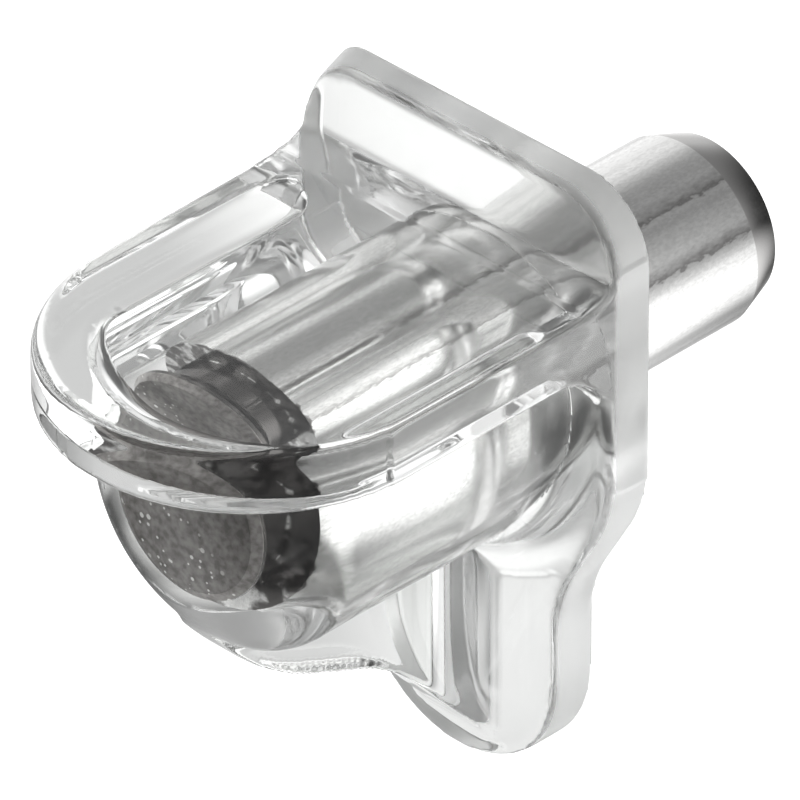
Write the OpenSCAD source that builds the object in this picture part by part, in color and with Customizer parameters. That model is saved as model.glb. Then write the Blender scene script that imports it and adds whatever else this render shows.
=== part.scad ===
// Shelf support pin: a clear moulded support with a plain steel pin moulded into its boss.
// Millimetres, +Z up. The origin is on the pin's axis at the wall face of the flange, where the
// support meets the cabinet side. +Y goes into the cabinet side and -Y goes under the shelf.

/* [Pin] */
// Diameter of the pin, which sets the hole it plugs into
pin_d = 5; // [4:0.1:5.6]
// Length of the pin outside the flange, with its bevelled tip
pin_out = 7.4; // [5:0.1:12]
// Length of the bevel round the pin's tip
tip_l = 0.95; // [0.3:0.05:1.5]
// Diameter of the flat at the pin's tip
tip_flat_d = 4.36; // [3:0.02:4.6]
// Distance from the wall face to the shoulder that holds the pin in the boss
shoulder_y = 8.35; // [6:0.05:8.6]
// Length of the waist between the shoulder and the head
neck_l = 1.15; // [0.8:0.05:1.4]
// Diameter of the waist
neck_d = 3.6; // [3:0.1:4]
// Diameter of the head at the inner end
head_d = 4.4; // [4:0.1:4.8]
// Length of the head, with its bevelled edge
head_l = 0.35; // [0.3:0.05:0.5]
// Bevel round the head's end face
head_bevel = 0.2; // [0.1:0.05:0.25]

/* [Shelf plate] */
// Width of the plate under the shelf, and of the flange
plate_w = 10.3; // [9:0.1:14]
// Reach of the plate from the wall face to its round front
plate_l = 13.1; // [12.2:0.1:20]
// Thickness of the plate
plate_t = 1.7; // [1:0.1:2.4]
// Height of the seat above the pin's axis
seat_z = 3.96; // [3.6:0.02:4.4]
// Rounding of the plate's upper edge
plate_top_r = 0.3; // [0.1:0.05:0.7]
// Rounding of the plate's lower edge
plate_low_r = 0.12; // [0.04:0.02:0.4]

/* [Flange] */
// Thickness of the flange
flange_t = 1.3; // [1:0.1:2]
// Thickness of the upstand at its top, which its front leans back to
upstand_top_t = 0.9; // [0.5:0.1:1]
// Height of the upstand behind the shelf's edge, above the seat
upstand_h = 2.3; // [1.4:0.1:4]
// How far the upstand's sides are set in from the plate's
upstand_inset = 0.06; // [0:0.02:0.4]
// Corner radius of the upstand on the -X side
corner_left_r = 1; // [0.4:0.1:2]
// Corner radius of the upstand on the +X side
corner_right_r = 2; // [0.4:0.1:2]
// Width of the leg at its round foot
leg_w = 6.6; // [5:0.02:7]
// Distance from the pin's axis down to the leg's lowest point
leg_drop = 11.15; // [10.2:0.05:16]
// Distance below the pin's axis at which the sides start to draw in
waist_z = 0.95; // [0:0.05:1.5]
// Slope of the drawn-in sides from upright, in degrees
waist_slope = 30; // [24:1:36]
// Radius of the bend out of the straight side
waist_out_r = 4.5; // [2:0.1:4.8]
// Radius of the bend into the leg
waist_in_r = 4; // [2:0.1:4.5]

/* [Boss] */
// Diameter of the boss round the pin
boss_d = 8.2; // [7.2:0.1:9]
// Distance from the wall face to the tip of the boss's nose
boss_l = 10.75; // [10.3:0.05:12]
// Length of the domed nose
nose_l = 2; // [1.2:0.05:2.6]

/* [Web] */
// Thickness of the web under the boss
web_t = 1.4; // [1:0.1:3]
// Radius of the web's rounded front edge, seen from the side
web_front_r = 8; // [6:0.5:10]
// Distance from the wall face to the end of that rounding
web_mid_y = 6.5; // [6:0.1:7]
// Depth of the web below the pin's axis at that place
web_mid_z = 6.15; // [5.8:0.05:6.6]
// Slope of the web's lower edge before its bend, in degrees
web_slope = 22.8; // [18:0.2:26]
// Distance from the wall face to the start of the bend where the web turns down the leg
web_bend_y = 5.1; // [4.8:0.1:5.6]
// Radius of that bend
web_bend_r = 5; // [3:0.5:6]
// Slope of the web's lower edge after its bend, in degrees
web_foot_slope = 48; // [40:1:50]

/* [Blends] */
// Fillet between the flange's front and the plate and boss
root_r = 1.8; // [1:0.1:2]
// Fillet between the flange's front and the web's sides
web_root_r = 1; // [0.5:0.1:2]
// Length along the seat of the low fillet between the seat and the upstand
seat_fillet_l = 1.5; // [0.4:0.1:2]
// Height of that fillet on the upstand
seat_fillet_h = 0.45; // [0.1:0.05:0.8]
// Radius of the blend that carries the nose up into the plate's underside
blend_r = 1.05; // [0.6:0.05:1.2]
// Distance from the nose's start to the centre that the blend turns about
blend_back = 1.75; // [1.5:0.05:2]
// Reach of the blend from that centre
blend_reach = 4.71; // [4.5:0.01:4.8]
// Width of the blend
blend_w = 7.7; // [6:0.1:8]

/* [Hidden] */
$fn = 96;

pin_in = shoulder_y + neck_l + head_l;
half_w = plate_w / 2;
upstand_half_w = half_w - upstand_inset;
boss_r = boss_d / 2;
leg_r = leg_w / 2;
foot_z = leg_r - leg_drop;
top_z = seat_z + upstand_h;
under_z = seat_z - plate_t;

// Breaks in the drawn-in sides: the end of the outer bend, and the start and end of the inner bend
slope_end_x = leg_r + waist_in_r * (1 - cos(waist_slope));
slope_start_x = half_w - waist_out_r * (1 - cos(waist_slope));
slope_start_z = -waist_z - waist_out_r * sin(waist_slope);
slope_end_z = slope_start_z - (slope_start_x - slope_end_x) / tan(waist_slope);
leg_top_z = slope_end_z - waist_in_r * sin(waist_slope);

curve_steps = 24;
cove_steps = 8;
cut = 0.5;

// Points on an arc about a centre, from one angle to another
function arc(centre, r, from, to, steps) =
    [for (i = [0:steps]) let (a = from + (to - from) * i / steps) centre + r * [cos(a), sin(a)]];

// Quarter of an ellipse, from [a, 0] to [0, b], moved to a centre
function quarter(a, b, at, steps) =
    [for (i = [0:steps]) at + [a * cos(90 * i / steps), b * sin(90 * i / steps)]];

// Turns a shape drawn as [radius, y] about the pin's axis
module about_pin() {
    rotate([-90, 0, 0]) rotate_extrude() children();
}

// Stands an outline drawn as [x, z] up, with its thickness running from y = -depth to y = 0
module upright(depth) {
    rotate([90, 0, 0]) linear_extrude(depth) children();
}

// Stands an outline drawn as [y, z] up, with its thickness centred on x = 0
module lengthwise(width) {
    rotate([90, 0, 90]) linear_extrude(width, center = true) children();
}

// What a round of radius r takes off an outer corner at the origin whose walls run down and left
module corner(r) {
    difference() {
        translate([-r, -r]) square(r + cut);
        translate([-r, -r]) circle(r);
    }
}

// The filling of an inner corner at the origin whose walls run up and right
module cove(r) {
    difference() {
        square(r);
        translate([r, r]) circle(r);
    }
}

// The pin's own form: a bevelled tip, a shoulder, a waist and a bevelled head
module pin_shape() {
    pin_r = pin_d / 2;
    head_r = head_d / 2;
    neck_r = neck_d / 2;
    swell = head_r - neck_r;
    head_back = head_l - pin_in;
    head_edge = head_bevel - pin_in;
    hollow = [for (p = quarter(-swell, -swell, [head_r, head_back + swell], cove_steps)) p];
    about_pin() polygon(concat(
        [[0, -pin_in], [head_r - head_bevel, -pin_in], [head_r, head_edge], [head_r, head_back]],
        [for (i = [cove_steps - 1:-1:0]) hollow[i]],
        [[neck_r, -shoulder_y], [pin_r, -shoulder_y]],
        [[pin_r, pin_out - tip_l], [tip_flat_d / 2, pin_out], [0, pin_out]]));
}

// The plate's cross-section, drawn as [x, z]
module plate_section() {
    difference() {
        translate([-half_w, under_z]) square([plate_w, plate_t]);
        for (side = [0, 1]) mirror([side, 0]) {
            translate([half_w, seat_z]) corner(plate_top_r);
            translate([half_w, under_z]) mirror([0, 1]) corner(plate_low_r);
        }
    }
}

module plate() {
    straight_l = plate_l - half_w;
    upright(straight_l) plate_section();
    translate([0, -straight_l, 0]) rotate_extrude() intersection() {
        plate_section();
        translate([0, under_z]) square([half_w, plate_t]);
    }
}

// One side of the outline below the plate, drawn as [x, z]
module drawn_in_side() {
    translate([0, -waist_z]) square([half_w, waist_z + under_z]);
    intersection() {
        translate([half_w - waist_out_r, -waist_z]) circle(waist_out_r);
        translate([0, slope_start_z]) square([half_w, -waist_z - slope_start_z]);
    }
    polygon([[0, slope_start_z], [slope_start_x, slope_start_z], [slope_end_x, slope_end_z], [0, slope_end_z]]);
    translate([0, slope_start_z]) square([half_w - waist_out_r, -waist_z - slope_start_z]);
    difference() {
        translate([0, leg_top_z]) square([slope_end_x, slope_end_z - leg_top_z]);
        translate([leg_r + waist_in_r, leg_top_z]) circle(waist_in_r);
    }
    translate([0, foot_z]) square([leg_r, leg_top_z - foot_z]);
}

// The flange's outline, drawn as [x, z]: upstand, shoulders, waist and round foot
module flange_outline() {
    difference() {
        translate([-upstand_half_w, 0]) square([2 * upstand_half_w, top_z]);
        translate([upstand_half_w, top_z]) corner(corner_right_r);
        translate([-upstand_half_w, top_z]) mirror([1, 0]) corner(corner_left_r);
    }
    translate([-half_w, 0]) square([plate_w, seat_z - plate_top_r]);
    drawn_in_side();
    mirror([1, 0]) drawn_in_side();
    translate([0, foot_z]) circle(leg_r);
}

// The flange, whose upstand leans back above the fillet on the seat
module flange() {
    difference() {
        upright(flange_t) flange_outline();
        lengthwise(plate_w + 2 * cut) polygon([
            [-flange_t, seat_z + seat_fillet_h],
            [-upstand_top_t, top_z],
            [-upstand_top_t, top_z + cut],
            [-flange_t - cut, top_z + cut],
            [-flange_t - cut, seat_z + seat_fillet_h]]);
    }
}

// The low fillet between the seat and the upstand
module seat_fillet() {
    lengthwise(2 * upstand_half_w) polygon(concat(
        [[-flange_t / 2, seat_z - plate_top_r], [-flange_t / 2, seat_z + seat_fillet_h]],
        quarter(seat_fillet_l, -seat_fillet_h, [-flange_t - seat_fillet_l, seat_z + seat_fillet_h], cove_steps),
        [[-flange_t - seat_fillet_l, seat_z - plate_top_r]]));
}

// The boss and its domed nose, up to the seat
module boss() {
    intersection() {
        about_pin() polygon(concat(
            [[0, 0], [boss_r, 0]],
            quarter(boss_r, -nose_l, [0, nose_l - boss_l], curve_steps)));
        translate([-boss_r, -boss_l - cut, -boss_r]) cube([boss_d, boss_l + cut, boss_r + seat_z - plate_t / 2]);
    }
}

// The blend that carries the nose up into the plate's underside, turned about an upright line
module nose_blend() {
    nose_start_y = nose_l - boss_l;
    intersection() {
        translate([0, nose_start_y + blend_back, under_z]) rotate_extrude() difference() {
            translate([0, -blend_r]) square([blend_reach, blend_r + plate_t / 2]);
            translate([blend_reach, -blend_r]) circle(blend_r);
        }
        translate([-blend_w / 2, -plate_l, -boss_r]) cube([blend_w, plate_l + nose_start_y, boss_d]);
    }
}

// The web's outline, drawn as [y, z]: a round front, a slope, a bend and a steeper run to the leg
module web_outline() {
    front_end = [-web_mid_y, -web_mid_z];
    front_centre = front_end + web_front_r * [sin(web_slope), cos(web_slope)];
    nose_y = nose_l / 2 - boss_l;
    front_start = -acos((nose_y - front_centre[0]) / web_front_r);
    bend_start = [-web_bend_y, -web_mid_z - (web_mid_y - web_bend_y) * tan(web_slope)];
    bend_centre = bend_start - web_bend_r * [sin(web_slope), cos(web_slope)];
    bend_end = bend_centre + web_bend_r * [sin(web_foot_slope), cos(web_foot_slope)];
    end_z = bend_end[1] - (-flange_t - bend_end[0]) * tan(web_foot_slope);
    polygon(concat(
        [[-flange_t / 2, 0], [nose_y, 0]],
        arc(front_centre, web_front_r, front_start, -90 - web_slope, curve_steps),
        arc(bend_centre, web_bend_r, 90 - web_slope, 90 - web_foot_slope, cove_steps),
        [[-flange_t, end_z], [-flange_t / 2, end_z]]));
}

// A fillet that runs across the flange's front, hanging from a height
module cross_fillet(z, r, width) {
    translate([0, -flange_t, z]) rotate([90, 0, -90])
        linear_extrude(width, center = true) mirror([0, 1]) cove(r);
}

// Fillets on the flange's front, under the plate and round the boss
module plate_and_boss_fillets() {
    edge_r = root_r + plate_low_r;
    cross_fillet(under_z, root_r, plate_w);
    difference() {
        cross_fillet(under_z + plate_low_r, edge_r, plate_w);
        cross_fillet(under_z + cut, edge_r + 2 * cut, plate_w - 2 * plate_low_r);
    }
    intersection() {
        about_pin() translate([boss_r, -flange_t]) mirror([0, 1]) cove(root_r);
        translate([0, -flange_t, seat_z - plate_t / 2 - plate_w]) cube(2 * plate_w, center = true);
    }
}

// The web, with fillets where its sides meet the flange's front
module web() {
    lengthwise(web_t) web_outline();
    intersection() {
        for (side = [0, 1]) mirror([side, 0, 0])
            translate([web_t / 2, -flange_t, -leg_drop])
                mirror([0, 1, 0]) linear_extrude(leg_drop) cove(web_root_r);
        lengthwise(plate_w) web_outline();
    }
}

module support_body() {
    color([0.93, 0.94, 0.95, 0.45]) difference() {
        union() {
            flange();
            plate();
            seat_fillet();
            boss();
            nose_blend();
            intersection() {
                union() {
                    plate_and_boss_fillets();
                    web();
                }
                upright(boss_l) flange_outline();
            }
        }
        pin_shape();
    }
}

module steel_pin() {
    color([0.7, 0.7, 0.71]) pin_shape();
}

support_body();
steel_pin();
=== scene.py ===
"""A shelf support pin: a clear moulded support with a drawn steel pin moulded into its boss.

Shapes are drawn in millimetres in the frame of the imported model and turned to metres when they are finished.
+Y runs along the pin into the cabinet side, and the origin is on the pin's axis at the flange's wall face.
"""

import math

import bmesh
import bpy
from mathutils import Matrix, Vector

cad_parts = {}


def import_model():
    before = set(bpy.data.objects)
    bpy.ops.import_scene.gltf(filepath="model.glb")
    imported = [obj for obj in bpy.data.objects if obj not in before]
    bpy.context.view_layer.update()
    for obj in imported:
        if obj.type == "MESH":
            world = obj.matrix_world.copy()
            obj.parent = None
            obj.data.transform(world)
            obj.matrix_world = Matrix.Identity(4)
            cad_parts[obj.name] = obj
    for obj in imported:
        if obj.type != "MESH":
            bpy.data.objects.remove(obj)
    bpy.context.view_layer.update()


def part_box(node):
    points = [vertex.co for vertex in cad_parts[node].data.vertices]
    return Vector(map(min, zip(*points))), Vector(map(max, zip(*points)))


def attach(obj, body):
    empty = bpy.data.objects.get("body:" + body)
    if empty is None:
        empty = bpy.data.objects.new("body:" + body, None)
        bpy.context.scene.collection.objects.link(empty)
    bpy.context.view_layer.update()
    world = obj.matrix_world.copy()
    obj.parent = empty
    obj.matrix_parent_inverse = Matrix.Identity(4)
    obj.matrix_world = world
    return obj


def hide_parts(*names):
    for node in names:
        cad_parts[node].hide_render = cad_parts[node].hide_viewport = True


MM = 0.001

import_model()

# ---------------------------------------------------------------- sizes, in millimetres

body_low, body_high = (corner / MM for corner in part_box("support_body"))
pin_low, pin_high = (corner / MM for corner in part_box("steel_pin"))

HALF_W = body_high.x                # half the width of the plate and the flange
PLATE_REACH = -body_low.y           # wall face to the plate's round front
TOP_Z = body_high.z                 # the upstand's top
FOOT_Z = body_low.z                 # the leg's lowest point
SEAT_Z = 3.96                       # the plate's flat top
PLATE_T = 1.7
PLATE_TOP_R = 0.45                  # rounding of the plate's upper edge, round its front and its -X side
PLATE_CRISP = 0.25                  # share of that rounding left on the +X side and near the upstand
PLATE_LOW_R = 0.12                  # rounding of the plate's lower edge
FLANGE_T = 1.3
UPSTAND_TOP_T = 0.95                # the upstand thins towards its top
CORNER_LEFT_R = 1.0                 # the upstand's corners, which differ
CORNER_RIGHT_R = 2.0
CORNER_FRONT_R = 1.7                # the left corner is wider on the front
LEG_R = 3.3                         # half the leg's width, and the foot's radius
WAIST_Z = -0.95                     # where the sides start to draw in
WAIST_OUT_R = 4.5
WAIST_IN_R = 4.0
WAIST_SLOPE = math.radians(30)
BOSS_R = 4.1
BOSS_REACH = 10.75                  # wall face to the tip of the boss's nose
NOSE_L = 2.0
WEB_T = 1.4
WEB_FRONT_R = 8.0
WEB_MID = Vector((-6.5, -6.15))     # where the web's round front ends, as y and z
WEB_SLOPE = math.radians(22.8)
WEB_BEND_Y = -5.1                   # where the web's lower edge starts to turn down
WEB_BEND_R = 5.0
WEB_FOOT_SLOPE = math.radians(48)
ROOT_R = 1.8                        # fillets on the flange's front, round the boss and under the plate
WEB_ROOT_R = 1.0                    # and beside the web
SEAT_FILLET_L = 1.5                 # the long low fillet between the seat and the upstand
SEAT_FILLET_H = 0.45
BLEND_Y = -7.0                      # centre, reach and radius of the blend under the plate, round the nose
BLEND_REACH = 4.71
BLEND_R = 1.05
BLEND_HALF_W = 3.85
SINK = 0.3                          # how far a fillet runs into what it joins

PIN_R = pin_high.x
PIN_OUT = pin_high.y
PIN_IN = -pin_low.y
TIP_L = 0.95
TIP_FLAT_R = 2.18
SHOULDER_Y = -8.35
NECK_R = 1.8
HEAD_R = 2.2
HEAD_L = 0.35
HEAD_BEVEL = 0.2
BORE_BITE = 0.01                    # the plastic grips the steel, with no air between them
BORE_OUT = 0.5                      # how far the cut for the pin runs out of the wall face

CLEAR_ROUGHNESS = 0.03              # the clear faces came off a polished tool
SMEARS_PER_MM = 0.6                 # soft changes in that polish
WALL_FACE_ROUGHNESS = 0.08
WALL_FACE_CLEAR = 0.92              # the share of light that passes, and isn't scattered by the duller face
WALL_FADE = (0.05, 0.01)            # how far before the wall face its finish starts, and is full
EDGE_ROUGHNESS = 0.35               # the flange's edge came off a blasted one
EDGE_CLEAR = 0.7
EDGE_FADE = (0.06, 0.2)             # how far behind the flange's front the milky edge starts, and is full
EDGE_OFF_PIN = (0.3, 0.5)           # and how far outside the pin
PAINTED_REFLECTIONS = (32.7, 64.2)                # painted dark reflections along the pin, not marks in the steel, in degrees round it from its top towards +X
REFLECTION_FADE = 12                      # degrees over which a painted reflection deepens
REFLECTION_END = 3                        # and over which it then ends

CAMERA_AZIMUTH = 45.01              # degrees round from -Y towards +X
CAMERA_ELEVATION = 33.95
CAMERA_ROLL = -0.27
CAMERA_AIM = (-2.2, -1.47)          # what it looks at, to its right and up from the origin
CAMERA_DISTANCE = 313.3
CAMERA_LENS = 595.9
SENSOR = 36.0                       # the width that goes with that lens

WHITE = (1, 1, 1, 1)
ROOM_LEVEL = 0.75                   # how bright the studio is between its cards and boxes
STUDIO = (                          # azimuth from +X, elevation, inner and outer spread in degrees, and level
    (185, 15, 25, 75, 1.2),         # a wide soft box on the left
    (300, 5, 25, 75, 0.4),          # the dim side that the camera stands on
    (90, 45, 12, 45, 0.35),         # a grey card overhead and behind
    (86, -5, 16, 42, 0.05),         # a black card behind on the right
    (168, -35, 8, 32, 0.6),         # the floor in the object's shade
    (130, -22, 8, 26, 1.25),        # the lit floor beyond it
    (42, -36, 12, 38, 1.9),         # a low lamp on the right
    (215, -32, 8, 30, 0.12),        # a dark card low on the left
    (300, -60, 5, 40, 0.08),        # the dark under the object
    (120, -70, 5, 25, 1.0),         # light that comes back up under the leg
)
FLOOR_Z = -0.012
FLOOR_R = 3.0
FLOOR_GLOW = 0.8

VOXEL = 0.1
SMOOTH_ROUNDS = 8
WALL_EDGE = 0.35                    # the edges this near the wall face stay sharper
EDGE_SOFTNESS = 0.3
RIM_TOP = 1.9                       # the flange's front edge is rounder from here down
RIM_ROUNDS = 24
RIM_START = 0.25                    # how far before the flange's front that rounding starts
UPSTAND_RIM = 0.8                   # share of that rounding on the upstand's front edge
UPSTAND_RIM_Z = 0.8                 # how far above the seat it starts on the upstand
TRUE_Y = -0.6                       # from here back the flange keeps its exact outline
FLATS = ((2, SEAT_Z), (2, SEAT_Z - PLATE_T), (1, -FLANGE_T), (0, WEB_T / 2), (0, -WEB_T / 2), (0, HALF_W),
         (0, -HALF_W))              # the moulding's flat faces, as an axis and a level
FLAT_REACH = 0.04                   # what lies this near a flat, or the boss's round, is laid on it
FACING = 0.98                       # if it faces the same way, as the cosine between the two
LEAN_FACING = 0.97                  # the same for the upstand's front, which leans
NEAR = 1e-4                         # levels this close are the same
WELD = 1e-5                         # and points this close are one
TRIM = 9.0                          # how far the blocks that trim the boss and its fillets reach


# ---------------------------------------------------------------- shaping helpers

def arc(centre, radius, start, end, steps):
    """Points on an arc about a 2D centre, with angles in radians."""
    turn = (end - start) / steps
    return [Vector(centre) + radius * Vector((math.cos(start + i * turn), math.sin(start + i * turn)))
            for i in range(steps + 1)]


def prism(points, plane, start, end):
    """A prism on an outline drawn as x and y, x and z, or y and z, between two levels on the third axis."""
    place = {"xy": lambda p, level: (p[0], p[1], level), "xz": lambda p, level: (p[0], level, p[1]),
             "yz": lambda p, level: (level, p[0], p[1])}[plane]
    bm = bmesh.new()
    verts = [bm.verts.new(place(p, start)) for p in points]
    edges = [bm.edges.new(pair) for pair in zip(verts, verts[1:] + verts[:1])]
    face = bmesh.ops.edgenet_fill(bm, edges=edges)["faces"][0]
    far = bmesh.ops.extrude_face_region(bm, geom=[face])["geom"]
    ends = [part for part in far if isinstance(part, bmesh.types.BMVert)]
    bmesh.ops.translate(bm, vec=place((0, 0), end - start), verts=ends)
    bmesh.ops.recalc_face_normals(bm, faces=bm.faces)
    return bm


def turned(profile, steps=256):
    """A solid of revolution about the pin's axis, from points as radius and y."""
    bm = bmesh.new()
    verts = [bm.verts.new((r, y, 0)) for r, y in profile]
    edges = [bm.edges.new(pair) for pair in zip(verts, verts[1:])]
    bmesh.ops.spin(bm, geom=verts + edges, cent=(0, 0, 0), axis=(0, 1, 0), angle=math.tau, steps=steps,
                   use_merge=True)
    bmesh.ops.remove_doubles(bm, verts=bm.verts, dist=WELD)
    bmesh.ops.recalc_face_normals(bm, faces=bm.faces)
    return bm


def mesh_object(name, *parts):
    """One object, in metres, from bmeshes in millimetres."""
    mesh = bpy.data.meshes.new(name)
    whole = bmesh.new()
    for bm in parts:
        bm.to_mesh(mesh)
        whole.from_mesh(mesh)
        bm.free()
    bmesh.ops.scale(whole, vec=(MM, MM, MM), verts=whole.verts)
    whole.to_mesh(mesh)
    whole.free()
    obj = bpy.data.objects.new(name, mesh)
    bpy.context.scene.collection.objects.link(obj)
    return obj


def apply_modifiers(obj):
    """Freezes an object's modifiers into its mesh."""
    bpy.context.view_layer.update()
    shaped = bpy.data.meshes.new_from_object(obj.evaluated_get(bpy.context.evaluated_depsgraph_get()))
    obj.modifiers.clear()
    old, obj.data = obj.data, shaped
    shaped.name = obj.name
    bpy.data.meshes.remove(old)


def combine(obj, tool, operation):
    """Cuts an object with another, keeps what they share, or joins them, and drops the tool."""
    step = obj.modifiers.new(operation.lower(), "BOOLEAN")
    step.operation = operation
    step.object = tool
    step.solver = "EXACT"
    apply_modifiers(obj)
    bpy.data.objects.remove(tool)


# ---------------------------------------------------------------- the clear support

def plate():
    """The plate that goes under the shelf: a stadium with rounded edges."""
    straight_y = HALF_W - PLATE_REACH
    front = arc((0, straight_y), HALF_W, 0, -math.pi, 128)
    bm = prism([(HALF_W, -SINK), *front, (-HALF_W, -SINK)], "xy", SEAT_Z - PLATE_T, SEAT_Z)
    for level, radius in ((SEAT_Z, PLATE_TOP_R), (SEAT_Z - PLATE_T, PLATE_LOW_R)):
        rim = [e for e in bm.edges if all(abs(v.co.z - level) < NEAR for v in e.verts)
               and not all(abs(v.co.y + SINK) < NEAR for v in e.verts)]
        bmesh.ops.bevel(bm, geom=rim, offset=radius, offset_type="OFFSET", affect="EDGES", segments=8,
                        profile=0.5, material=-1)
    for vert in bm.verts:
        if vert.co.z > SEAT_Z - PLATE_TOP_R - NEAR:
            spine = Vector((0, min(straight_y, 0) if vert.co.y < straight_y else vert.co.y, 0))
            out = Vector((vert.co.x, vert.co.y, 0)) - spine
            corner = spine + out.normalized() * HALF_W + Vector((0, 0, SEAT_Z))
            side = min(max(0.5 + out.x / HALF_W, 0), 1)
            back = min(max((vert.co.y - straight_y) / -straight_y, 0), 1)
            share = 1 - (1 - PLATE_CRISP) * max(side, back)
            vert.co = corner + (vert.co - corner) * share
    return bm


def flange():
    """The flange, whose upstand thins towards its top."""
    bm = prism(flange_outline(), "xz", -FLANGE_T, 0)
    bmesh.ops.bisect_plane(bm, geom=bm.verts[:] + bm.edges[:] + bm.faces[:], plane_co=(0, 0, SEAT_Z),
                           plane_no=(0, 0, 1))
    centre = Vector((CORNER_LEFT_R - HALF_W, TOP_Z - CORNER_LEFT_R))
    for vert in bm.verts:
        if vert.co.y > -FLANGE_T / 2:
            continue
        out = Vector((vert.co.x, vert.co.z)) - centre
        if out.x < NEAR and out.y > -NEAR:
            wider = (CORNER_FRONT_R - CORNER_LEFT_R) * (Vector((1, -1)) + out / CORNER_LEFT_R)
            vert.co.x += wider.x
            vert.co.z += wider.y
        rise = max(vert.co.z - SEAT_Z, 0) / (TOP_Z - SEAT_Z)
        vert.co.y += rise * (FLANGE_T - UPSTAND_TOP_T)
    return bm


def flange_outline():
    """The flange from behind, as x and z: upstand, shoulders, waist and round foot."""
    right_top = arc((HALF_W - CORNER_RIGHT_R, TOP_Z - CORNER_RIGHT_R), CORNER_RIGHT_R, math.pi / 2, 0, 24)
    left_top = arc((CORNER_LEFT_R - HALF_W, TOP_Z - CORNER_LEFT_R), CORNER_LEFT_R, math.pi, math.pi / 2, 24)
    out_bend = arc((HALF_W - WAIST_OUT_R, WAIST_Z), WAIST_OUT_R, 0, -WAIST_SLOPE, 24)
    slope_end_x = LEG_R + WAIST_IN_R * (1 - math.cos(WAIST_SLOPE))
    slope_end_z = out_bend[-1].y - (out_bend[-1].x - slope_end_x) / math.tan(WAIST_SLOPE)
    in_centre = (LEG_R + WAIST_IN_R, slope_end_z - WAIST_IN_R * math.sin(WAIST_SLOPE))
    in_bend = arc(in_centre, WAIST_IN_R, math.pi - WAIST_SLOPE, math.pi, 24)
    side = out_bend + in_bend
    foot = arc((0, FOOT_Z + LEG_R), LEG_R, 0, -math.pi, 96)
    return left_top + right_top + side + foot + [Vector((-p.x, p.y)) for p in reversed(side)]


def boss():
    """The boss round the pin, with its domed nose."""
    nose = [(BOSS_R * math.cos(a), NOSE_L - BOSS_REACH - NOSE_L * math.sin(a))
            for a in (math.pi / 2 * i / 48 for i in range(49))]
    return turned([(0, -SINK), (BOSS_R, -SINK), *nose])


def nose_blend():
    """The blend from the nose up into the plate's underside."""
    under = SEAT_Z - PLATE_T
    cove = arc((BLEND_REACH, under - BLEND_R), BLEND_R, math.pi, math.pi / 2, 24)
    outline = [(0, under - BLEND_R), *cove, (BLEND_REACH, under + SINK), (0, under + SINK)]
    bm = bmesh.new()
    verts = [bm.verts.new((r, 0, z)) for r, z in outline]
    edges = [bm.edges.new(pair) for pair in zip(verts, verts[1:])]
    bmesh.ops.spin(bm, geom=verts + edges, cent=(0, 0, 0), axis=(0, 0, 1), angle=math.tau, steps=192,
                   use_merge=True)
    bmesh.ops.remove_doubles(bm, verts=bm.verts, dist=WELD)
    bmesh.ops.translate(bm, vec=(0, BLEND_Y, 0), verts=bm.verts)
    bmesh.ops.recalc_face_normals(bm, faces=bm.faces)
    return bm


def boss_root():
    """The fillet round the boss on the flange's front."""
    cove = arc((BOSS_R + ROOT_R, -FLANGE_T - ROOT_R), ROOT_R, math.pi, math.pi / 2, 32)
    return turned([(BOSS_R - SINK, -FLANGE_T - ROOT_R), *cove, (BOSS_R + ROOT_R, SINK - FLANGE_T),
                   (BOSS_R - SINK, SINK - FLANGE_T), (BOSS_R - SINK, -FLANGE_T - ROOT_R)])


def under_root():
    """The fillet under the plate, across the flange's front."""
    under = SEAT_Z - PLATE_T
    cove = arc((-FLANGE_T - ROOT_R, under - ROOT_R), ROOT_R, math.pi / 2, 0, 32)
    outline = [(-FLANGE_T - ROOT_R, under + SINK), *cove, (SINK - FLANGE_T, under - ROOT_R),
               (SINK - FLANGE_T, under + SINK)]
    return prism(outline, "yz", -HALF_W, HALF_W)


def seat_root():
    """The long low fillet between the seat and the upstand."""
    lean = (FLANGE_T - UPSTAND_TOP_T) * SEAT_FILLET_H / (TOP_Z - SEAT_Z)
    reach = SEAT_FILLET_L + lean
    cove = [(lean - FLANGE_T - reach * (1 - math.cos(a)), SEAT_Z + SEAT_FILLET_H * (1 - math.sin(a)))
            for a in (math.pi / 2 * (1 - i / 16) for i in range(17))]
    outline = [(-FLANGE_T - SEAT_FILLET_L, SEAT_Z - SINK), *cove, (SINK - FLANGE_T, SEAT_Z + SEAT_FILLET_H),
               (SINK - FLANGE_T, SEAT_Z - SINK)]
    return prism(outline, "yz", -HALF_W, HALF_W)


def web_outline():
    """The web under the boss from the side, as y and z."""
    centre = WEB_MID + WEB_FRONT_R * Vector((math.sin(WEB_SLOPE), math.cos(WEB_SLOPE)))
    nose_y = NOSE_L / 2 - BOSS_REACH
    start = -math.acos((nose_y - centre.x) / WEB_FRONT_R)
    front = arc(centre, WEB_FRONT_R, start, -math.pi / 2 - WEB_SLOPE, 48)
    bend_start = Vector((WEB_BEND_Y, WEB_MID.y + (WEB_MID.x - WEB_BEND_Y) * math.tan(WEB_SLOPE)))
    bend_centre = bend_start - WEB_BEND_R * Vector((math.sin(WEB_SLOPE), math.cos(WEB_SLOPE)))
    bend = arc(bend_centre, WEB_BEND_R, math.pi / 2 - WEB_SLOPE, math.pi / 2 - WEB_FOOT_SLOPE, 24)
    foot = (-FLANGE_T, bend[-1].y - (-FLANGE_T - bend[-1].x) * math.tan(WEB_FOOT_SLOPE))
    return [(-SINK, 0), (nose_y, 0), *front, *bend, foot, (-SINK, foot[1])]


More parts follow.
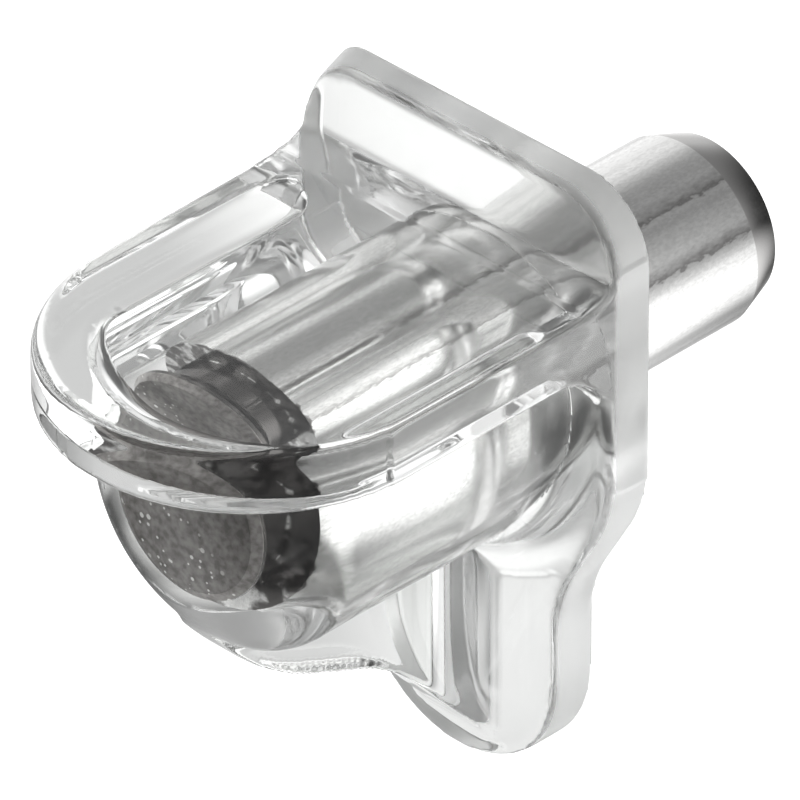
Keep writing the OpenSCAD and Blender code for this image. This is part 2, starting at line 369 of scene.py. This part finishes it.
def web_roots():
    """The fillets where the web's sides meet the flange's front, as one upright bar."""
    reach = WEB_T / 2 + WEB_ROOT_R
    right = arc((reach, -FLANGE_T - WEB_ROOT_R), WEB_ROOT_R, math.pi, math.pi / 2, 32)
    left = [Vector((-p.x, p.y)) for p in reversed(right)]
    return prism([*right, (reach, SINK - FLANGE_T), (-reach, SINK - FLANGE_T), *left], "xy", FOOT_Z, 0)


def shared(name, part, *tools):
    """What a part shares with each of some tools."""
    obj = mesh_object(name, part)
    for tool in tools:
        combine(obj, mesh_object("tool", tool), "INTERSECT")
    return obj


def lay_flat(body):
    """Lays what the melting left a hair off the flat faces and the boss's round back on them."""
    facings = [vert.normal.copy() for vert in body.data.vertices]
    for vert, facing in zip(body.data.vertices, facings):
        place = vert.co / MM
        for axis, level in FLATS:
            if abs(place[axis] - level) < FLAT_REACH and abs(facing[axis]) > FACING:
                place[axis] = level
        lean = (FLANGE_T - UPSTAND_TOP_T) * (place.z - SEAT_Z) / (TOP_Z - SEAT_Z)
        off_face = abs(place.y + FLANGE_T - lean)
        if place.z > SEAT_Z + SEAT_FILLET_H and off_face < FLAT_REACH and facing.y < -LEAN_FACING:
            place.y = lean - FLANGE_T
        out = Vector((place.x, 0, place.z))
        if (abs(out.length - BOSS_R) < FLAT_REACH and NOSE_L - BOSS_REACH < place.y < -FLANGE_T - ROOT_R
                and facing.dot(out) > FACING * out.length):
            place = out * (BOSS_R / out.length) + Vector((0, place.y, 0))
        vert.co = place * MM


def support_body():
    """The whole moulding, melted into one skin whose edges are all a little round."""
    def block(half, top, start, end):
        return prism([(-half, -TRIM), (half, -TRIM), (half, top), (-half, top)], "xz", start, end)

    def on_flange():
        return prism(flange_outline(), "xz", -PLATE_REACH, 0)

    under_seat = SEAT_Z - SINK
    pieces = [
        mesh_object("plate", plate()),
        mesh_object("flange", flange()),
        shared("boss", boss(), block(TRIM, under_seat, -PLATE_REACH, 0)),
        shared("nose_blend", nose_blend(), block(BLEND_HALF_W, TOP_Z, -PLATE_REACH, NOSE_L - BOSS_REACH)),
        shared("boss_root", boss_root(), block(TRIM, under_seat, -PLATE_REACH, 0), on_flange()),
        shared("under_root", under_root(), on_flange()),
        mesh_object("seat_root", seat_root()),
        mesh_object("web", prism(web_outline(), "yz", -WEB_T / 2, WEB_T / 2)),
        shared("web_roots", web_roots(), prism(web_outline(), "yz", -HALF_W, HALF_W), on_flange()),
    ]
    whole = bmesh.new()
    for piece in pieces:
        whole.from_mesh(piece.data)
        bpy.data.objects.remove(piece)
    mesh = bpy.data.meshes.new("clear_support")
    whole.to_mesh(mesh)
    whole.free()
    body = bpy.data.objects.new("clear_support", mesh)
    bpy.context.scene.collection.objects.link(body)
    melt = body.modifiers.new("melt", "REMESH")
    melt.mode = "VOXEL"
    melt.voxel_size = VOXEL * MM
    apply_modifiers(body)
    soft, rim, true = (body.vertex_groups.new(name=name) for name in ("soft", "rim", "true"))
    for vert in body.data.vertices:
        y, z = vert.co.y / MM, vert.co.z / MM
        soft.add([vert.index], EDGE_SOFTNESS if y > -WALL_EDGE else 1.0, "REPLACE")
        if -FLANGE_T - RIM_START < y < -WALL_EDGE and not RIM_TOP < z < SEAT_Z + UPSTAND_RIM_Z:
            share = 1.0 if z < RIM_TOP else UPSTAND_RIM
            rim.add([vert.index], share * min((-WALL_EDGE - y) / WALL_EDGE, 1), "REPLACE")
        if y > TRUE_Y - WALL_EDGE:
            true.add([vert.index], min((y - TRUE_Y) / WALL_EDGE + 1, 1), "REPLACE")
    for group, rounds in ((soft, SMOOTH_ROUNDS), (rim, RIM_ROUNDS)):
        soften = body.modifiers.new("soften_" + group.name, "SMOOTH")
        soften.factor = 0.5
        soften.iterations = rounds
        soften.vertex_group = group.name
    exact = mesh_object("exact", flange())
    settle = body.modifiers.new("settle", "SHRINKWRAP")
    settle.target = exact
    settle.vertex_group = true.name
    apply_modifiers(body)
    bpy.data.objects.remove(exact)
    body.vertex_groups.clear()
    lay_flat(body)
    combine(body, mesh_object("bore", turned(pin_profile(-BORE_BITE, BORE_OUT))), "DIFFERENCE")
    for face in body.data.polygons:
        face.use_smooth = True
    return body


# ---------------------------------------------------------------- the steel pin

def pin_profile(grow, out):
    """The pin's outline as radius and y, grown all round, and run out past the wall face by a length."""
    head_back = HEAD_L - PIN_IN
    swell = HEAD_R - NECK_R
    hollow = [(HEAD_R - swell * math.sin(a) + grow, head_back + swell * (1 - math.cos(a)))
              for a in (math.pi / 2 * i / 12 for i in range(13))]
    return [(0, -PIN_IN - grow), (HEAD_R - HEAD_BEVEL + grow, -PIN_IN - grow),
            (HEAD_R + grow, HEAD_BEVEL - PIN_IN), *hollow,
            (NECK_R + grow, SHOULDER_Y - grow), (PIN_R + grow, SHOULDER_Y - grow),
            (PIN_R + grow, out), (0, out)]


def steel_pin():
    """The drawn pin, with its bevelled tip and its sheared inner end."""
    profile = pin_profile(0, 0)[:-2]
    tip = [(PIN_R, PIN_OUT - TIP_L), (TIP_FLAT_R, PIN_OUT)]
    pin = mesh_object("steel_pin_turned", turned([*profile, *tip, (0, PIN_OUT)]))
    for face in pin.data.polygons:
        face.use_smooth = True
    sharp = pin.modifiers.new("edges", "EDGE_SPLIT")
    sharp.split_angle = math.radians(30)
    apply_modifiers(pin)
    return pin


# ---------------------------------------------------------------- materials

MATH, RANGE, MIX, NOISE = "ShaderNodeMath", "ShaderNodeMapRange", "ShaderNodeMix", "ShaderNodeTexNoise"
STEEL_WAVES = (                     # waves to the millimetre, the share of that along the pin, and detail
    (4.0, 0.01, 5.0),               # the lines of the draw, coarser than the real ones so that they show
    (14.0, 0.5, 2.0),               # the plating's grain, coarser too
    (9.0, 0.4, 2.0),                # how the painted dark reflections sway
    (2.2, 1.0, 3.0),                # how unevenly the turned part and its painted dark reflection start
    (5.0, 1.0, 6.0),                # the crumbs of the torn end
)
BUBBLE_GLINTS = (                         # painted glints on bubbles on the torn end: cells to the millimetre, the bubble's share of one, and how many go empty
    (3.2, 0.25, 0.5),
    (5.5, 0.24, 0.6),
)
TORN_ROUGHNESS = 0.42


def srgb(code):
    """Linear colour from an sRGB hex value."""
    values = [int(code[i:i + 2], 16) / 255 for i in (1, 3, 5)]
    return tuple(v / 12.92 if v <= 0.04045 else ((v + 0.055) / 1.055) ** 2.4 for v in values) + (1,)


def add(tree, kind, inputs=(), **settings):
    """Adds a node with its settings, and feeds its inputs from values, sockets or other nodes."""
    node = tree.nodes.new(kind)
    for key, value in settings.items():
        setattr(node, key, value)
    for key, value in inputs.items() if isinstance(inputs, dict) else enumerate(inputs):
        if isinstance(value, bpy.types.Node):
            value = next(socket for socket in value.outputs if socket.enabled)
        if isinstance(value, bpy.types.NodeSocket):
            tree.links.new(value, node.inputs[key])
        else:
            node.inputs[key].default_value = value
    return node


def blank(name):
    """A material with an empty tree."""
    material = bpy.data.materials.new(name)
    material.use_nodes = True
    material.node_tree.nodes.clear()
    return material, material.node_tree


def place_of(tree):
    """Where a point lies on its object in millimetres: as a vector, and as x, y and z."""
    metres = add(tree, "ShaderNodeTexCoord").outputs["Object"]
    place = add(tree, "ShaderNodeVectorMath", {0: metres, "Scale": 1 / MM}, operation="SCALE")
    return place, *add(tree, "ShaderNodeSeparateXYZ", (place,)).outputs


def clear_polycarbonate():
    """Polycarbonate, moulded."""
    # clear and glossy off a polished tool, a little duller on the wall face, and milky matt round the edge of
    # the flange
    material, tree = blank("polycarbonate_moulded_clear")
    place, x, y, z = place_of(tree)
    across = add(tree, "ShaderNodeCombineXYZ", (x, 0.0, z))
    off_axis = add(tree, "ShaderNodeVectorMath", (across,), operation="LENGTH")
    lean = add(tree, RANGE, (z, SEAT_Z, TOP_Z, 0.0, FLANGE_T - UPSTAND_TOP_T))
    depth = add(tree, MATH, (y, lean), operation="SUBTRACT")
    behind = add(tree, RANGE, (depth, EDGE_FADE[0] - FLANGE_T, EDGE_FADE[1] - FLANGE_T))
    outside = add(tree, RANGE, (off_axis, PIN_R + EDGE_OFF_PIN[0], PIN_R + EDGE_OFF_PIN[1]))
    on_edge = add(tree, MATH, (behind, outside), operation="MULTIPLY")
    on_wall = add(tree, RANGE, (y, -WALL_FADE[0], -WALL_FADE[1]))
    smears = add(tree, NOISE, {"Vector": place, "Scale": SMEARS_PER_MM, "Detail": 3.0})
    clear = add(tree, MATH, (smears, CLEAR_ROUGHNESS), operation="MULTIPLY")
    dull = add(tree, MIX, {0: on_edge, 2: clear, 3: EDGE_ROUGHNESS})
    dull = add(tree, MIX, {0: on_wall, 2: dull, 3: WALL_FACE_ROUGHNESS})
    passes = add(tree, MIX, {0: on_edge, 2: 1.0, 3: EDGE_CLEAR})
    passes = add(tree, MIX, {0: on_wall, 2: passes, 3: WALL_FACE_CLEAR})
    shader = add(tree, "ShaderNodeBsdfPrincipled", {
        "Base Color": srgb("#FCFDFC"), "IOR": 1.5, "Roughness": dull, "Transmission Weight": passes})
    add(tree, "ShaderNodeOutputMaterial", {"Surface": shader})
    return material


def drawn_steel():
    """Steel wire, drawn and bright plated."""
    # mirror-like along the draw, with faint lines along it, two painted dark reflections along it and a
    # painted dark reflection where it was turned, and torn and dull where it was sheared, with small bubbles
    # painted white as glints
    material, tree = blank("steel_drawn_bright_plated")
    place, x, y, z = place_of(tree)
    waves = []
    for per_mm, along, detail in STEEL_WAVES:
        stretch = (per_mm, per_mm * along, per_mm)
        spread = add(tree, "ShaderNodeVectorMath", (place, stretch), operation="MULTIPLY")
        waves.append(add(tree, NOISE, {"Vector": spread, "Scale": 1.0, "Detail": detail}))
    lines, grain, reflection_sway, tear, crumbs = waves
    worn = add(tree, MATH, (add(tree, MATH, (lines, grain), operation="ADD"), 0.5), operation="MULTIPLY")
    bright = add(tree, RANGE, (worn, 0.4, 0.6))
    colour = add(tree, MIX, {0: bright, 6: srgb("#D3D3D2"), 7: srgb("#E4E4E3")}, data_type="RGBA")

    turn = add(tree, MATH, (add(tree, MATH, (x, z), operation="ARCTAN2"), math.degrees(1)),
               operation="MULTIPLY")
    sway = add(tree, RANGE, (reflection_sway, 0.3, 0.7, -2.0, 2.0))
    around = add(tree, MATH, (turn, sway), operation="ADD")
    # painted dark reflections: two darker streaks along the pin at fixed angles round it, standing in for dark
    # things mirrored in the steel
    for reflection_angle in PAINTED_REFLECTIONS:
        deepens = add(tree, RANGE, (around, reflection_angle - REFLECTION_FADE, reflection_angle))
        ends = add(tree, RANGE, (around, reflection_angle + REFLECTION_END, reflection_angle))
        share = add(tree, MATH, (deepens, ends), operation="MULTIPLY")
        share = add(tree, MATH, (share, 2.5), operation="POWER")
        colour = add(tree, MIX, {0: share, 6: colour, 7: srgb("#9A9998")}, data_type="RGBA")

    # the turned neck and shoulder are painted dark: a painted dark reflection, not darker steel, with an
    # uneven start
    uneven = add(tree, MATH, (y, add(tree, RANGE, (tear, 0.0, 1.0, -0.25, 0.25))), operation="ADD")
    neck_dark_reflection = add(tree, RANGE, (uneven, SHOULDER_Y + 0.04, SHOULDER_Y - 0.02))
    colour = add(tree, MIX, {0: neck_dark_reflection, 6: colour, 7: srgb("#62605F")}, data_type="RGBA")
    bevel = add(tree, RANGE, (y, PIN_OUT - TIP_L, PIN_OUT - TIP_L + 0.05))
    colour = add(tree, MIX, {0: bevel, 6: colour, 7: srgb("#B8B7B6")}, data_type="RGBA")

    rubble = add(tree, RANGE, (crumbs, 0.35, 0.65))
    torn_and_glints = add(tree, MIX, {0: rubble, 6: srgb("#7C7977"), 7: srgb("#A9A6A4")}, data_type="RGBA")
    # the bubbles are painted near-white as glints, and only towards the torn end's lower left
    glint_side = add(tree, RANGE, (add(tree, MATH, (x, z), operation="ADD"), 0.6, -0.4))
    for per_mm, size, empty in BUBBLE_GLINTS:
        cells = add(tree, "ShaderNodeTexVoronoi", {"Vector": place, "Scale": per_mm})
        near = add(tree, RANGE, (cells.outputs["Distance"], size, size - 0.05))
        chance = add(tree, "ShaderNodeSeparateColor", (cells.outputs["Color"],)).outputs["Red"]
        filled = add(tree, RANGE, (chance, empty, empty + 0.02))
        bubble_glint = add(tree, MATH, (near, filled), operation="MULTIPLY")
        bubble_glint = add(tree, MATH, (bubble_glint, glint_side), operation="MULTIPLY")
        torn_and_glints = add(tree, MIX, {0: bubble_glint, 6: torn_and_glints, 7: srgb("#FAFAF8")}, data_type="RGBA")
    end_face = add(tree, RANGE, (y, HEAD_BEVEL + 0.04 - PIN_IN, HEAD_BEVEL + 0.02 - PIN_IN))
    colour = add(tree, MIX, {0: end_face, 6: colour, 7: torn_and_glints}, data_type="RGBA")

    gloss = add(tree, RANGE, (worn, 0.35, 0.65, 0.2, 0.1))
    rough = add(tree, MIX, {0: end_face, 2: gloss, 3: TORN_ROUGHNESS})
    faint = add(tree, MATH, (lines, 0.08), operation="MULTIPLY")
    height = add(tree, MIX, {0: end_face, 2: faint, 3: crumbs})
    relief = add(tree, "ShaderNodeBump", {"Strength": 0.15, "Distance": 0.02 * MM, "Height": height})
    shader = add(tree, "ShaderNodeBsdfPrincipled", {
        "Base Color": colour, "Metallic": 1.0, "Roughness": rough, "Normal": relief})
    add(tree, "ShaderNodeOutputMaterial", {"Surface": shader})
    return material


# ---------------------------------------------------------------- studio

def camera():
    """The camera, with no shift."""
    azimuth, elevation, roll = (math.radians(a) for a in (CAMERA_AZIMUTH, CAMERA_ELEVATION, CAMERA_ROLL))
    back = Vector((math.sin(azimuth) * math.cos(elevation), -math.cos(azimuth) * math.cos(elevation),
                   math.sin(elevation)))
    right = Vector((math.cos(azimuth), math.sin(azimuth), 0))
    up = back.cross(right)
    right, up = (right * math.cos(roll) + up * math.sin(roll), up * math.cos(roll) - right * math.sin(roll))
    aim = CAMERA_AIM[0] * right + CAMERA_AIM[1] * up
    place = (aim + back * CAMERA_DISTANCE) * MM
    data = bpy.data.cameras.new("camera")
    data.sensor_width = SENSOR
    data.lens = CAMERA_LENS
    data.clip_start = 0.01
    data.clip_end = 10
    obj = bpy.data.objects.new("camera", data)
    obj.matrix_world = Matrix((
        (right.x, up.x, back.x, place.x), (right.y, up.y, back.y, place.y), (right.z, up.z, back.z, place.z),
        (0, 0, 0, 1)))
    bpy.context.scene.collection.objects.link(obj)
    bpy.context.scene.camera = obj


def studio_level(tree, way):
    """How bright the studio is in a direction: a soft round, with cards and boxes that melt into it."""
    level = ROOM_LEVEL
    for azimuth, elevation, inner, outer, strength in STUDIO:
        turn, rise = math.radians(azimuth), math.radians(elevation)
        towards = (math.cos(turn) * math.cos(rise), math.sin(turn) * math.cos(rise), math.sin(rise))
        near = add(tree, "ShaderNodeVectorMath", (way, towards), operation="DOT_PRODUCT")
        share = add(tree, RANGE, (near, math.cos(math.radians(outer)), math.cos(math.radians(inner))),
                    interpolation_type="SMOOTHSTEP")
        level = add(tree, MIX, {0: share, 2: level, 3: strength})
    return level


def world():
    """The studio: white to the camera, and its lights and cards to all else."""
    sky = bpy.data.worlds.new("studio")
    bpy.context.scene.world = sky
    sky.use_nodes = True
    tree = sky.node_tree
    tree.nodes.clear()
    way = add(tree, "ShaderNodeTexCoord").outputs["Generated"]
    seen = add(tree, "ShaderNodeLightPath").outputs["Is Camera Ray"]
    strength = add(tree, MIX, {0: seen, 2: studio_level(tree, way), 3: 1.0})
    back = add(tree, "ShaderNodeBackground", {"Color": WHITE, "Strength": strength})
    add(tree, "ShaderNodeOutputWorld", {"Surface": back})


def floor():
    """A wide pale floor, just below, which shows the studio's cards to glossy and transmitted rays."""
    mesh = bpy.data.meshes.new("floor")
    bm = bmesh.new()
    bmesh.ops.create_circle(bm, cap_ends=True, segments=64, radius=FLOOR_R)
    bmesh.ops.translate(bm, vec=(0, 0, FLOOR_Z), verts=bm.verts)
    bm.to_mesh(mesh)
    bm.free()
    obj = bpy.data.objects.new("floor", mesh)
    bpy.context.scene.collection.objects.link(obj)
    material, tree = blank("floor_white_sweep")
    place = add(tree, "ShaderNodeNewGeometry").outputs["Position"]
    way = add(tree, "ShaderNodeVectorMath", (place,), operation="NORMALIZE")
    shown = add(tree, "ShaderNodeEmission", {"Color": WHITE, "Strength": studio_level(tree, way)})
    glow = add(tree, "ShaderNodeEmission", {"Color": WHITE, "Strength": FLOOR_GLOW})
    paint = add(tree, "ShaderNodeBsdfDiffuse", {"Color": srgb("#F2F2F2")})
    path = add(tree, "ShaderNodeLightPath").outputs
    through = add(tree, MATH, (path["Is Glossy Ray"], path["Is Transmission Ray"]), operation="MAXIMUM")
    plain = add(tree, "ShaderNodeAddShader", (glow, paint))
    sweep = add(tree, "ShaderNodeMixShader", (through, plain, shown))
    add(tree, "ShaderNodeOutputMaterial", {"Surface": sweep})
    mesh.materials.append(material)


body = support_body()
pin = steel_pin()
body.data.materials.append(clear_polycarbonate())
pin.data.materials.append(drawn_steel())
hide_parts("support_body")
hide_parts("steel_pin")
for piece, slot in ((body, "clear_plastic"), (pin, "plated_steel")):
    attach(piece, "root")
camera()
world()
floor()

scene = bpy.context.scene
scene.view_settings.view_transform = "Standard"
scene.cycles.max_bounces = 32
scene.cycles.transmission_bounces = 32
scene.cycles.glossy_bounces = 16
